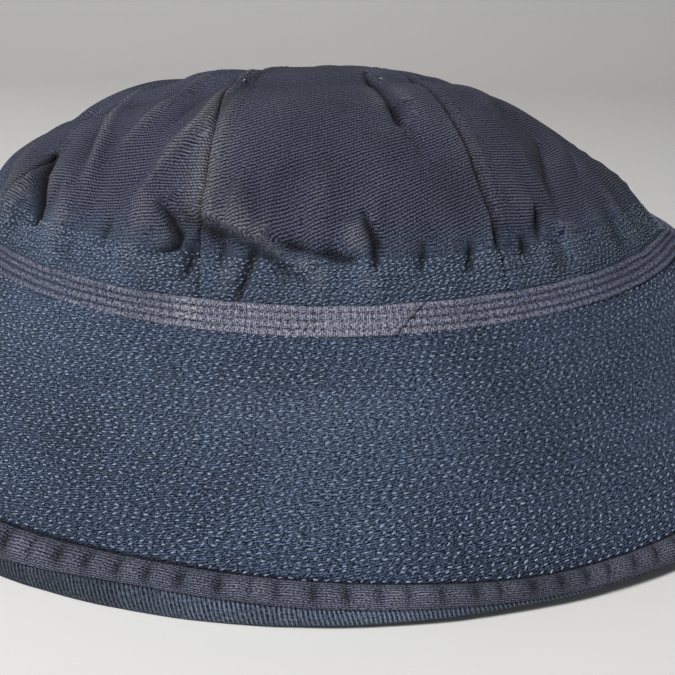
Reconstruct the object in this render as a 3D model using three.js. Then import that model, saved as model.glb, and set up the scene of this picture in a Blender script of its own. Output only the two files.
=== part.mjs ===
// A soft cotton sun hat: an eight-panel crown on an oval head opening, a flat band sewn over the crown
// joint, and a steep three-layer brim whose edge is bound above and hemmed below. Millimetres, +Z up.
// The origin is under the middle of the head opening, on the plane that the brim edge rests on.
// X is the wearer's long axis.
import * as THREE from "three";

// ---- driving dimensions ----
const HEAD = { x: 108.5, y: 87, z: 50 }; // half-axes and height of the band's lower edge, outer face
const HEAD_DIP = 2.8; // the head line sinks this far on the -Y side and rises as far on the +Y side
const HEAD_SADDLE = 2; // it rises this far at both ends of X
const HEAD_TILT = 1.5; // and this much more at the +X end than in the middle, less at the -X end
const EDGE = { x: 152, y: 135, z: 6 }; // half-axes and height of the brim's upper face at its edge
const POLE = { x: 1.5, y: 28, z: 87.5 }; // where the crown's panels meet, slumped towards +Y
const CROWN_PUFF = 24.5; // how far the cloth stands up above that slope in the middle of the -Y side
const SPREAD_POWER = 1.21; // how fast the crown narrows as it climbs: 1 is a circle's arc
const SPREAD_SKEW = 0.315; // faster on the +X side, slower on the -X side
const SPREAD_ENDS = 0.155; // faster at both ends of X
const LIFT_POWER = 1.38; // how slowly it starts to gain height
const LEAN_POWER = 1.6; // how late its middle shifts towards the pole
const CLOTH = 0.8; // one layer of cotton twill, with its thread
const GAP = 0.3; // clearance between neighbouring pieces
const BAND_WIDTH = 7.5; // flat band over the crown joint
const BAND_LAP = 14; // how far the band's end laps over its start
const BAND_START = 8; // distance along the head line from the middle of the -Y side to the lap
const SWEATBAND_SHARE = 0.275; // mean share of the way up the crown that the sweatband reaches
const SWEATBAND_SWING = 0.075; // less on the steeper -Y side, so that its width stays even
const PANELS = 8;
const FIRST_SEAM = -27; // distance along the head line from the middle of the -Y side to a crown seam
const TIP_RADIUS = 3; // the panels' tips stop this far from the crown's middle
const BINDING_WIDTH = 6.5; // how far the binding reaches up the brim from its edge
const HEM_INSET = 1.5; // the hem's wall stands this far inside the binding's wall
const FOOT = 2.2; // width of the hem's flat underside, which the hat rests on
const AROUND = 64; // facets round the hat
const CROWN_ROWS = 9; // facets up a crown panel
const SWEATBAND_ROWS = 3;
const BAND_ROWS = 2;
const LAP_FACETS = 8; // extra facets along the band's lap

// ---- surfaces ----
const FULL = 2 * Math.PI;
const headHeight = (angle) =>
  HEAD.z - HEAD_DIP * Math.cos(angle) + HEAD_SADDLE * Math.sin(angle) ** 2 + HEAD_TILT * Math.sin(angle);
const ovalPoint = (a, b, angle, z) => new THREE.Vector3(a * Math.sin(angle), -b * Math.cos(angle), z);

const spreadPower = (angle) =>
  SPREAD_POWER + SPREAD_SKEW * Math.sin(angle) + SPREAD_ENDS * Math.sin(angle) ** 2;
const spreadAt = (angle, share) => Math.max(Math.cos((share * Math.PI) / 2), 0) ** spreadPower(angle);

// The crown at a share up it, 0 at the joint and 1 at the pole, inset from the outer face.
function crownPoint(angle, share, inset) {
  const spread = spreadAt(angle, share);
  const lift = Math.sin((share * Math.PI) / 2) ** LIFT_POWER;
  const lean = lift ** LEAN_POWER;
  const puff = CROWN_PUFF * ((1 + Math.cos(angle)) / 2) ** 2 * Math.sin(Math.PI * share) ** 2;
  const base = headHeight(angle) + GAP;
  const a = (HEAD.x - CLOTH - GAP - inset) * spread;
  const b = (HEAD.y - CLOTH - GAP - inset) * spread;
  const point = ovalPoint(a, b, angle, base + (POLE.z - inset - base) * lift + puff);
  point.x += POLE.x * lean;
  point.y += POLE.y * lean;
  return point;
}

const BRIM_RUN = (EDGE.x - HEAD.x + EDGE.y - HEAD.y) / 2; // mean horizontal width of the brim
const SLOPE = (EDGE.z - HEAD.z) / BRIM_RUN;
const UPRIGHT = Math.hypot(1, SLOPE); // a thickness square to the brim's face, measured upright
const LEAF_START = -BINDING_WIDTH / UPRIGHT; // inner edge of the binding and the hem, in plan

// The brim's upper face, out millimetres in plan from its edge (negative is towards the crown).
// The dip of the head line fades out before the binding, so the rim stays flat.
function brimPoint(angle, out, rise) {
  const share = 1 + out / BRIM_RUN;
  const a = HEAD.x + (EDGE.x - HEAD.x) * share;
  const b = HEAD.y + (EDGE.y - HEAD.y) * share;
  const dip = (headHeight(angle) - HEAD.z) * Math.max((LEAF_START - out) / (LEAF_START + BRIM_RUN), 0);
  return ovalPoint(a, b, angle, HEAD.z + (EDGE.z - HEAD.z) * share + dip + rise);
}

// ---- solids ----
function bend(geometry, place) {
  const at = geometry.getAttribute("position");
  for (let i = 0; i < at.count; i++) {
    const moved = place(new THREE.Vector3().fromBufferAttribute(at, i));
    at.setXYZ(i, moved.x, moved.y, moved.z);
  }
  geometry.computeVertexNormals();
  return geometry;
}

// A slab bent to a surface: place(u, v, w) takes shares of its length, height and thickness.
function sheet(place, along, up) {
  const geometry = new THREE.BoxGeometry(1, 1, 1, along, up, 1);
  return bend(geometry, (p) => place(p.x + 0.5, p.y + 0.5, p.z + 0.5));
}

// A section of the brim carried round from one angle to another. Its points are [out, rise].
function swept(section, from, to) {
  const shape = new THREE.Shape(section.map(([out, rise]) => new THREE.Vector2(out, rise)));
  const steps = Math.round((AROUND * (to - from)) / FULL);
  const geometry = new THREE.ExtrudeGeometry(shape, { depth: 1, steps, bevelEnabled: false });
  return bend(geometry, (p) => brimPoint(to + p.z * (from - to), p.x, p.y));
}

// A section of the brim carried all the way round.
function ring(section) {
  const far = 100; // keeps the section clear of the lathe's axis
  const closed = [...section, section[0]];
  const points = closed.map(([out, rise]) => new THREE.Vector2(far + out, rise));
  const geometry = new THREE.LatheGeometry(points, AROUND);
  return bend(geometry, (p) => brimPoint(Math.atan2(p.x, p.z), Math.hypot(p.x, p.z) - far, p.y));
}

const hat = new THREE.Group();

function add(name, geometry, color, roughness = 0.95) {
  const material = new THREE.MeshStandardMaterial({ color, roughness, metalness: 0 });
  const mesh = new THREE.Mesh(geometry, material);
  mesh.name = name;
  hat.add(mesh);
}

// ---- crown: eight tapered panels ----
const CROWN_COLOUR = 0x35373f;
const headLine = new THREE.EllipseCurve(0, 0, HEAD.x, HEAD.y, -Math.PI / 2, 1.5 * Math.PI);
const headLength = headLine.getLength();

// The angle, from the middle of the -Y side, of a point that far along the head line.
function angleAlong(distance) {
  const turns = Math.floor(distance / headLength);
  const point = headLine.getPointAt(distance / headLength - turns);
  const angle = Math.atan2(point.x / HEAD.x, -point.y / HEAD.y);
  return (angle < 0 ? angle + FULL : angle) + FULL * turns;
}

const tipShare = (2 / Math.PI) * Math.acos((TIP_RADIUS / HEAD.y) ** (1 / SPREAD_POWER));
const seamAngle = (index) => angleAlong(FIRST_SEAM + (index * headLength) / PANELS);

function crownPanel(index) {
  const [start, end] = [seamAngle(index), seamAngle(index + 1)];
  return sheet(
    (u, v, w) => {
      const share = v * tipShare;
      const from = start + GAP / 2 / (HEAD.y * spreadAt(start, share));
      const to = end - GAP / 2 / (HEAD.y * spreadAt(end, share));
      return crownPoint(from + u * (to - from), share, (1 - w) * CLOTH);
    },
    AROUND / PANELS,
    CROWN_ROWS,
  );
}

for (let i = 0; i < PANELS; i++) add(`crown_panel_${i + 1}`, crownPanel(i), CROWN_COLOUR);

// ---- sweatband: a strip inside the crown's lower part, its ends butted in the middle of the +Y side ----
const LINING_COLOUR = 0x3a3f49;
const sweatbandInset = CLOTH + 2 * GAP;
add(
  "sweatband",
  sheet(
    (u, v, w) => {
      const angle = (2 * u - 1) * (Math.PI - GAP / HEAD.y);
      const reach = SWEATBAND_SHARE - SWEATBAND_SWING * Math.cos(angle);
      return crownPoint(angle, v * reach, sweatbandInset + (1 - w) * CLOTH);
    },
    AROUND,
    SWEATBAND_ROWS,
  ),
  LINING_COLOUR,
);

// ---- band: a flat tape over the joint, whose end laps over its start ----
const BAND_COLOUR = 0x55545f;
const bandStart = BAND_START / HEAD.x;
const lapAngle = BAND_LAP / HEAD.x;
const bandLean = 1; // how far the band's upper edge leans in, less than the crown does
add(
  "hat_band",
  sheet(
    (u, v, w) => {
      const turned = u * (FULL + lapAngle);
      const over = THREE.MathUtils.smoothstep(turned, FULL - lapAngle, FULL - lapAngle / 4);
      const outer = (CLOTH + GAP) * over - bandLean * v + (w - 1) * CLOTH;
      const angle = bandStart + turned;
      return ovalPoint(HEAD.x + outer, HEAD.y + outer, angle, headHeight(angle) + v * BAND_WIDTH);
    },
    AROUND + LAP_FACETS,
    BAND_ROWS,
  ),
  BAND_COLOUR,
);

// ---- brim: top cloth, interlining and under cloth; each cloth is two halves joined at the ends of X ----
const BRIM_COLOUR = 0x2c3b50;
const CANVAS_COLOUR = 0x8d8672;
const bindingWall = -CLOTH; // the inner side of the binding's upright wall
const hemOuter = -HEM_INSET;
const layerEnd = hemOuter - CLOTH - GAP; // the layers stop short of the edge, inside the hem
const brimStart = 2 * GAP - BRIM_RUN; // clear of the band

const onFace = (out, offset) => [out, offset * UPRIGHT]; // offset square to the brim's upper face
const atHeight = (out, z) => [out, z - EDGE.z - SLOPE * out];

function layer(number) {
  const top = -number * (CLOTH + GAP);
  return [
    onFace(brimStart, top - CLOTH),
    onFace(LEAF_START, top - CLOTH),
    onFace(layerEnd, top - CLOTH),
    onFace(layerEnd, top),
    onFace(LEAF_START, top),
    onFace(brimStart, top),
  ];
}

["near", "far"].forEach((name, side) => {
  const seamTrim = GAP / 2 / HEAD.y;
  const from = side * Math.PI - Math.PI / 2 + seamTrim;
  const to = side * Math.PI + Math.PI / 2 - seamTrim;
  add(`brim_top_${name}`, swept(layer(0), from, to), BRIM_COLOUR);
  add(`brim_under_${name}`, swept(layer(2), from, to), BRIM_COLOUR);
});
add("brim_interlining", ring(layer(1)), CANVAS_COLOUR);

// ---- binding and hem: two strips that close the brim edge from above and from below ----
const BINDING_COLOUR = 0x434955;
const HEM_COLOUR = 0x2f3d4c;
const wallBottom = EDGE.z - HEM_INSET; // height of the binding's lower edge
const stackBottom = -3 * (CLOTH + GAP); // the face that the hem lies against, below the under cloth

const binding = [
  onFace(LEAF_START, GAP),
  onFace(bindingWall, GAP),
  atHeight(bindingWall, wallBottom),
  atHeight(0, wallBottom),
  onFace(0, CLOTH / 2),
  onFace(-CLOTH, GAP + CLOTH),
  onFace(LEAF_START, GAP + CLOTH),
];
add("brim_binding", ring(binding), BINDING_COLOUR);

const footOuter = hemOuter - CLOTH;
const hem = [
  onFace(LEAF_START, stackBottom - CLOTH),
  atHeight(footOuter - FOOT, 0),
  atHeight(footOuter, 0),
  atHeight(hemOuter, HEM_INSET),
  atHeight(hemOuter, wallBottom + CLOTH),
  atHeight(hemOuter - CLOTH, wallBottom + CLOTH),
  onFace(hemOuter - CLOTH, stackBottom),
  onFace(LEAF_START, stackBottom),
];
add("brim_hem", ring(hem), HEM_COLOUR);

export default hat;
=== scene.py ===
"""A soft cotton sun hat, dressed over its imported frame: gored crown, lapped band, quilted brim.

Everything is in metres in the frame's own axes. Each cloth surface is a function of the angle round the
hat, measured from the middle of the -Y side towards +X, and of a second share or length across it.
"""

import math

import bmesh
import bpy
import numpy as np
from mathutils import Matrix, Vector


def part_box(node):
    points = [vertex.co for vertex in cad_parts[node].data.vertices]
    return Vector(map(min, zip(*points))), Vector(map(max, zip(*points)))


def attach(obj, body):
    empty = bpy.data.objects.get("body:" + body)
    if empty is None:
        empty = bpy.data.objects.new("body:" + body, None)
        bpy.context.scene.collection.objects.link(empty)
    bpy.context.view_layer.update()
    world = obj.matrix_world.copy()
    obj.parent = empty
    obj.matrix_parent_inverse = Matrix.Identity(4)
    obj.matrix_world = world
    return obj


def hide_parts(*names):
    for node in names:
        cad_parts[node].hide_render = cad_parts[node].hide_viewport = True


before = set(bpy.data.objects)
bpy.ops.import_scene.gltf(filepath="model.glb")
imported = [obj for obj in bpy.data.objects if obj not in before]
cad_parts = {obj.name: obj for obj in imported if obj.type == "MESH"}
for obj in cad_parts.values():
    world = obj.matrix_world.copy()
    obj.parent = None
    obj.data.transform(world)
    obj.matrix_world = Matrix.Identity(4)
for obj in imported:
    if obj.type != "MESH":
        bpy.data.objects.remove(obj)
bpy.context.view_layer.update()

MM = 0.001
FULL = 2 * math.pi
PROBE = 1e-3  # the step, in radians or in share, by which a surface's directions are found
rng = np.random.default_rng(11)

# ---- sizes taken from the frame ----
PANELS = 8
CLOTH = 0.7 * MM
band_low, band_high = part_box("hat_band")
edge_low, edge_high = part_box("brim_binding")
panel_boxes = [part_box(f"crown_panel_{i + 1}") for i in range(PANELS)]

# The head line's sink on the -Y side, its rise at both ends of X, and its tilt, as in the frame.
HEAD_DIP, HEAD_SADDLE, HEAD_TILT = 2.8 * MM, 2.0 * MM, 1.5 * MM
LOWEST_SINE = -HEAD_TILT / (HEAD_DIP + 2 * HEAD_SADDLE)
SINK = HEAD_DIP * (1 - LOWEST_SINE ** 2 / 2) - HEAD_SADDLE * LOWEST_SINE ** 2 - HEAD_TILT * LOWEST_SINE
HEAD = Vector((band_high.x, band_high.y, band_low.z + SINK))
EDGE_DROP = 1.5 * MM  # the binding hangs this far below the brim's own edge
EDGE = Vector((edge_high.x, edge_high.y, edge_low.z + EDGE_DROP))
POLE = Vector((
    (max(low.x for low, high in panel_boxes) + min(high.x for low, high in panel_boxes)) / 2,
    (max(low.y for low, high in panel_boxes) + min(high.y for low, high in panel_boxes)) / 2,
    min(high.z for low, high in panel_boxes),
))

# ---- the crown's and brim's own shape, as in the frame ----
CROWN_PUFF = 24.5 * MM
SPREAD_POWER, SPREAD_SKEW, SPREAD_ENDS = 1.21, 0.315, 0.155
LIFT_POWER, LEAN_POWER = 1.38, 1.6
FIRST_SEAM = -27 * MM
BAND_END = 19 * MM  # where the band's upper end lies, along the head line
BAND_CUT = 8 * MM  # how far its cut end slants
BAND_LAP = 14 * MM  # how far its lower end runs on beneath
BINDING_WIDTH = 6.5 * MM
ZONE_BOTTOM, ZONE_TOP = 5.9 * MM, 15.6 * MM  # the row-stitched part of the crown, up from the head line
ZONE_ROWS = 12
BRIM_ROWS = 41
STITCH_PITCH = 2.45 * MM  # from one stitch to the next in the brim's rows
ZONE_PITCH = 1.65 * MM  # and in the crown's
# The +X end of the head line has sunk and spread a little.
END_SAG, END_SWELL = 7.5 * MM, 3.5 * MM


# ---- small numeric helpers ----
def smooth(x, low=0.0, high=1.0):
    """0 below low, 1 above high, and eased between them."""
    share = np.clip((np.asarray(x, float) - low) / (high - low), 0, 1)
    return share * share * (3 - 2 * share)


def hump(x, centre, width):
    return np.exp(-(((np.asarray(x, float) - centre) / width) ** 2))


def turned(angle):
    """The angle brought between minus and plus half a turn."""
    return (np.asarray(angle, float) + math.pi) % FULL - math.pi


def sampled(table, place, level, ease=None):
    """A table's value at fractional places: round its first, closed axis, and along its second."""
    i = np.floor(place).astype(int)
    j = np.clip(np.floor(level).astype(int), 0, table.shape[1] - 2)
    a, b = place - i, level - j
    if ease:
        a, b = ease(a), ease(b)
    if table.ndim == 3:
        a, b = a[..., None], b[..., None]
    i0, i1 = i % len(table), (i + 1) % len(table)
    low = table[i0, j] * (1 - a) + table[i1, j] * a
    high = table[i0, j + 1] * (1 - a) + table[i1, j + 1] * a
    return low * (1 - b) + high * b


def arc_lengths(points, axis=0):
    """How far along the points each one is, from nought at the first."""
    steps = np.linalg.norm(np.diff(points, axis=axis), axis=-1)
    start = np.zeros_like(np.take(steps, [0], axis))
    return np.concatenate([start, np.cumsum(steps, axis)], axis)


class Wander:
    """A smooth seeded wave round the hat, between about -1 and 1, with some number of knots a turn."""

    def __init__(self, knots):
        self.values = rng.uniform(-1, 1, knots)

    def __call__(self, angle):
        place = (np.asarray(angle, float) / FULL % 1) * len(self.values)
        index = np.floor(place).astype(int)
        share = smooth(place - index)
        after = self.values[(index + 1) % len(self.values)]
        return self.values[index % len(self.values)] * (1 - share) + after * share


class Patch:
    """Smooth seeded noise over a strip, with knots along the angle and up the share."""

    def __init__(self, knots, rows):
        self.values = rng.uniform(-1, 1, (knots, rows + 1))

    def __call__(self, angle, share):
        knots, rows = self.values.shape
        place = (np.asarray(angle, float) / FULL % 1) * knots
        return sampled(self.values, place, np.clip(share, 0, 0.9999) * (rows - 1), smooth)


def oval(a, b, angle, z):
    a, b, angle, z = np.broadcast_arrays(a, b, angle, z)
    return np.stack([a * np.sin(angle), -b * np.cos(angle), z], -1)


def sunk_end(angle):
    """1 at the +X end of the head line, and 0 away from it."""
    degrees = np.degrees(turned(angle))
    return smooth(degrees, 64, 93) * (1 - smooth(degrees, 108, 160))


def head_height(angle):
    sine = np.sin(angle)
    plain = HEAD.z - HEAD_DIP * np.cos(angle) + HEAD_SADDLE * sine ** 2 + HEAD_TILT * sine
    return plain - END_SAG * sunk_end(angle)


def head_reach(angle, fade=1.0):
    """Half the head line's length, a little more towards its +X end; fade takes the swelling away."""
    return HEAD.x + END_SWELL * sunk_end(angle) * fade


TURNS = np.linspace(0, FULL, 1441)
ALONG = arc_lengths(oval(HEAD.x, HEAD.y, TURNS, 0.0))
HEAD_LENGTH = ALONG[-1]


def angle_along(distance):
    """The angle of a point that far along the head line from the middle of the -Y side."""
    distance = np.asarray(distance, float)
    laps = np.floor(distance / HEAD_LENGTH)
    return np.interp(distance - laps * HEAD_LENGTH, ALONG, TURNS) + laps * FULL


def unit(vectors):
    return vectors / np.maximum(np.linalg.norm(vectors, axis=-1, keepdims=True), 1e-12)


class Surface:
    """A cloth surface given by a function of (angle, across), with its outward side and a probing step."""

    def __init__(self, points, reach=PROBE, side=1):
        self.points, self.reach, self.side = points, reach, side

    def __call__(self, angle, across):
        return self.points(angle, across)

    def directions(self, angle, across):
        """The point, the unit ways round and across, and the outward normal."""
        round_way = unit(self(angle + PROBE, across) - self(angle - PROBE, across))
        cross_way = unit(self(angle, across + self.reach) - self(angle, across - self.reach))
        normal = unit(np.cross(round_way, cross_way)) * self.side
        return self(angle, across), round_way, cross_way, normal

    def raised(self, angle, across, height):
        point, _, _, normal = self.directions(angle, across)
        return point + normal * np.asarray(height)[..., None]


# ---- the crown's surface ----
soft_noise = Patch(11, 5)
fine_noise = Patch(46, 14)
pucker_wave = Wander(96)
pucker_share = Wander(40)


def spread_at(angle, share):
    sine = np.sin(angle)
    power = SPREAD_POWER + SPREAD_SKEW * sine + SPREAD_ENDS * sine ** 2
    return np.clip(np.cos(share * math.pi / 2), 0, 1) ** power


def plain_crown(angle, share):
    """The frame's crown: 0 is the joint with the brim, 1 is the pole where the panels meet."""
    spread = spread_at(angle, share)
    lift = np.sin(np.clip(share, 0, 1) * math.pi / 2) ** LIFT_POWER
    lean = lift ** LEAN_POWER
    puff = CROWN_PUFF * ((1 + np.cos(angle)) / 2) ** 2 * np.sin(math.pi * share) ** 2
    base = head_height(angle)
    reach = head_reach(angle, 1 - smooth(share, 0, 0.3)) - 2 * CLOTH
    point = oval(reach * spread, (HEAD.y - 2 * CLOTH) * spread, angle,
                 base + (POLE.z - base) * lift + puff)
    point[..., 0] += POLE.x * lean
    point[..., 1] += POLE.y * lean
    return point


def beside(angle, share, path):
    """How far off a path of (degrees, share) a place is, and the share of the way along the path.

    The distance is in radians of angle, and positive on the left of the path's direction.
    """
    knots = np.array([(math.radians(degrees), level * SHARE_SCALE) for degrees, level in path])
    place = np.stack([turned(angle), np.asarray(share) * SHARE_SCALE], -1)
    total = np.linalg.norm(np.diff(knots, axis=0), axis=1).sum()
    nearest, signed, along = None, None, None
    travelled = 0.0
    for a, b in zip(knots[:-1], knots[1:]):
        way = b - a
        length = np.linalg.norm(way)
        part = np.clip(((place - a) @ way) / length ** 2, 0, 1)
        gap = place - (a + part[..., None] * way)
        away = np.linalg.norm(gap, axis=-1)
        side = np.where(way[0] * gap[..., 1] - way[1] * gap[..., 0] >= 0, away, -away)
        here = (travelled + part * length) / total
        if nearest is None:
            nearest, signed, along = away, side, here
        else:
            closer = away < nearest
            nearest = np.where(closer, away, nearest)
            signed = np.where(closer, side, signed)
            along = np.where(closer, here, along)
        travelled += length
    return signed, along


def ends(along):
    """Fades a fold out at both its ends."""
    return np.sin(np.clip(along, 0, 1) * math.pi) ** 0.5


def crease(angle, share, path, width, depth):
    """A groove with a sharp foot along a path, or a rounded ridge where depth is negative."""
    away, along = beside(angle, share, path)
    if depth < 0:
        return -depth * ends(along) * np.exp(-((away / width) ** 2))
    rounded = np.sqrt((away / width) ** 2 + CREASE_FOOT ** 2) - CREASE_FOOT
    return -depth * ends(along) * np.exp(-1.7 * rounded)


def ledge(angle, share, path, rise, drop, reach_up, reach_down):
    """Slack cloth hanging over a path: raised on its left, sunk on its right, with a short steep face."""
    away, along = beside(angle, share, path)
    over = smooth(away, -LEDGE_FACE, LEDGE_FACE)
    above = rise * np.exp(-np.clip(away, 0, None) / reach_up)
    below = drop * np.exp(-np.clip(-away, 0, None) / reach_down)
    return ends(along) * (over * above - (1 - over) * below)


CREASE_FOOT = 0.15  # how much of a crease's width is rounded at its foot
SHARE_SCALE = 1.45  # the crown's height against one radian of its girth
LEDGE_FACE = 0.013
LEDGE = ((-18.5, 0.262), (-15, 0.242), (-9.5, 0.217), (-7, 0.205), (-4, 0.180), (-0.5, 0.158))

# The folds that the cloth has taken: path of (degrees, share), width in radians, depth in millimetres.
CREASES = [
    # the deep hollow and the bulge beside it, well to the -X side
    (((-57, 0.35), (-54, 0.300), (-51, 0.262), (-48.5, 0.225), (-47.5, 0.18)), 0.036, 6.0),
    (((-66, 0.50), (-60, 0.40), (-52, 0.28)), 0.090, 2.0),
    (((-68, 0.36), (-60, 0.25), (-53, 0.18)), 0.070, -1.8),
    # the hooked fold and the slack cloth inside it
    (((-23.5, 0.268), (-21.2, 0.246), (-19.2, 0.216), (-19.4, 0.196), (-21.5, 0.182), (-24.5, 0.178)),
     0.013, 2.4),
    (((-28, 0.30), (-24.2, 0.215)), 0.050, -1.0),
    (((-22, 0.275), (-17, 0.235)), 0.045, 1.2),
    # short gathers above the stitched rows
    (((-31, 0.24), (-32, 0.17)), 0.020, 1.1),
    (((-16.8, 0.215), (-17.6, 0.135)), 0.018, 1.5),
    (((-12.5, 0.212), (-12.8, 0.160)), 0.016, 1.1),
    (((-8.5, 0.20), (-9.2, 0.15), (-10.2, 0.08)), 0.018, 1.6),
    (((-1.2, 0.165), (-1, 0.115)), 0.016, 1.2),
    (((6.5, 0.265), (8.4, 0.215), (8.2, 0.160)), 0.020, 3.0),
    (((4.5, 0.25), (5.5, 0.19)), 0.035, -1.6),
    (((15.4, 0.217), (14.4, 0.160)), 0.016, 1.4),
    (((22.3, 0.212), (21.5, 0.155)), 0.016, 1.4),
    (((27.2, 0.24), (26.3, 0.185)), 0.014, 1.0),
    (((31.6, 0.220), (30.8, 0.168)), 0.016, 1.5),
    (((36.5, 0.265), (34, 0.192)), 0.024, 1.8),
    # the middle panel's foot, sunk below the slack cloth
    (((-7, 0.222), (0, 0.200), (7, 0.186)), 0.028, 2.2),
    # long folds running up the crown
    (((11.5, 0.585), (13.4, 0.515), (14.4, 0.455), (14.6, 0.40)), 0.030, 3.6),
    (((14.6, 0.46), (17, 0.34)), 0.070, 1.6),
    (((50, 0.40), (43, 0.31), (40.5, 0.225)), 0.080, 2.2),
    (((62, 0.40), (52, 0.30)), 0.032, 1.0),
    (((-54, 0.58), (-42, 0.392), (-37, 0.25)), 0.030, -1.6),
    (((-16.5, 0.60), (-20.5, 0.409), (-26.5, 0.30)), 0.028, -1.9),
    (((-26, 0.64), (-31.3, 0.449), (-36, 0.34)), 0.026, -1.3),
    (((-23, 0.50), (-27.5, 0.38)), 0.035, 1.2),
    (((35, 0.62), (48, 0.42)), 0.090, -0.8),
    # the ends lean inwards
    (((94, 0.56), (90, 0.30), (88, 0.02)), 0.360, 4.0),
    (((-68, 0.60), (-36, 0.56)), 0.260, 2.4),
    # the far side and the ends
    (((118, 0.60), (100, 0.28)), 0.110, 2.6),
    (((88, 0.45), (84, 0.22)), 0.060, 1.8),
    (((150, 0.50), (162, 0.22)), 0.090, 2.4),
    (((136, 0.34), (131, 0.18)), 0.040, 1.8),
    (((-150, 0.62), (-128, 0.30)), 0.110, 2.8),
    (((-112, 0.40), (-108, 0.18)), 0.050, 2.0),
    (((-100, 0.55), (-86, 0.26)), 0.080, 2.4),
    (((178, 0.70), (-168, 0.36)), 0.110, 2.2),
    (((-165, 0.30), (-163, 0.17)), 0.035, 1.6),
]


def sculpted_crown(angle, share):
    """The frame's crown with the folds and hollows that soft cloth takes."""
    angle, share = np.broadcast_arrays(np.asarray(angle, float), np.asarray(share, float))
    fade = smooth(share, 0.03, 0.2) * (1 - smooth(share, 0.86, 1.0))
    height = 1.0 * MM * soft_noise(angle, share) * fade + 0.35 * MM * fine_noise(angle, share) * fade
    for path, width, depth in CREASES:
        height = height + crease(angle, share, path, width, depth * MM)
    height = height + ledge(angle, share, LEDGE, 2.2 * MM, 1.8 * MM, 0.10, 0.05)
    height = height * smooth(share, 0.0, 0.11)
    # Gathered cloth: narrow upright puckers above the stitched rows, dying out up the crown.
    top = 0.19 + 0.03 * pucker_share(angle)
    reach = smooth(share, 0.06, 0.16) * (1 - smooth(share, top, top + 0.15))
    gathers = np.abs(pucker_wave(angle)) ** 0.7 * np.sign(pucker_wave(angle))
    height = height + 0.9 * MM * gathers * reach
    # The cloth swells out over the stiff stitched rows.
    height = height + 0.9 * MM * hump(share, 0.27, 0.07) * (0.6 + 0.4 * pucker_share(angle + 1))
    point = plain_crown(angle, share)
    round_way = plain_crown(angle + PROBE, share) - plain_crown(angle - PROBE, share)
    low, high = np.clip(share - PROBE, 0, 0.995), np.clip(share + PROBE, 0.002, 0.997)
    cross_way = plain_crown(angle, high) - plain_crown(angle, low)
    return point + unit(np.cross(unit(round_way), unit(cross_way))) * height[..., None]


class CrownSheet:
    """The crown's surface held as a fine grid, so that a simulated shape can be sampled like a formula."""

    def __init__(self, grid):
        self.grid = grid  # angle, share, xyz
        self.lengths = arc_lengths(grid, 1)
        self.reliefs = self.local_relief()

    def local_relief(self, passes=70):
        """How far each point stands out from, or is sunk below, the cloth a few millimetres round it."""
        blurred = self.grid
        for _ in range(passes):
            blurred = (np.roll(blurred, 1, 0) + 2 * blurred + np.roll(blurred, -1, 0)) / 4
            inner = (blurred[:, :-2] + 2 * blurred[:, 1:-1] + blurred[:, 2:]) / 4
            blurred = np.concatenate([blurred[:, :1], inner, blurred[:, -1:]], 1)
        round_way = np.roll(blurred, -1, 0) - np.roll(blurred, 1, 0)
        cross_way = np.gradient(blurred, axis=1)
        return ((self.grid - blurred) * unit(np.cross(round_way, cross_way))).sum(-1)

    def blend(self, table, angle, share):
        angle, share = np.broadcast_arrays(np.asarray(angle, float), np.asarray(share, float))
        place = (angle / FULL % 1) * len(table)
        return sampled(table, place, np.clip(share, 0, 1) * (table.shape[1] - 1))

    def points(self, angle, share):
        return self.blend(self.grid, angle, share)

    def length(self, angle, share):
        return self.blend(self.lengths, angle, share)

    def relief(self, angle, share):
        return self.blend(self.reliefs, angle, share)

    def share_at(self, angle, length):
        """The share up the crown at a length up from the joint, along the cloth."""
        angle, length = np.broadcast_arrays(np.asarray(angle, float), np.asarray(length, float))
        low, high = np.zeros(angle.shape), np.ones(angle.shape)
        for _ in range(18):
            middle = (low + high) / 2
            short = self.length(angle, middle) < length
            low, high = np.where(short, middle, low), np.where(short, high, middle)
        return (low + high) / 2


def crown_grid(shape, columns=900, rows=200):
    angle = np.linspace(0, FULL, columns, endpoint=False)[:, None]
    share = np.linspace(0, 0.997, rows + 1)[None]
    return shape(angle, share)


def grid_faces(columns, rows, loop=False, ring=False):
    """Quads of points stored column by column. `loop` closes the columns into a ring, `ring` the rows."""
    i = np.arange(columns if loop else columns - 1)[:, None]
    j = np.arange(rows if ring else rows - 1)[None]
    after, over = (i + 1) % columns * rows, (j + 1) % rows
    return np.stack([i * rows + j, after + j, after + over, i * rows + over], -1).reshape(-1, 4)


DRAPE_STEP = 2  # the simulated cloth has one point for this many of the fine grid's, each way
DRAPE_SLACK = 0.013  # the share by which the cloth is too large
DRAPE_CAP = 1.6 * MM  # no point moves further than this
DRAPE_FRAMES = 14


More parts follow.
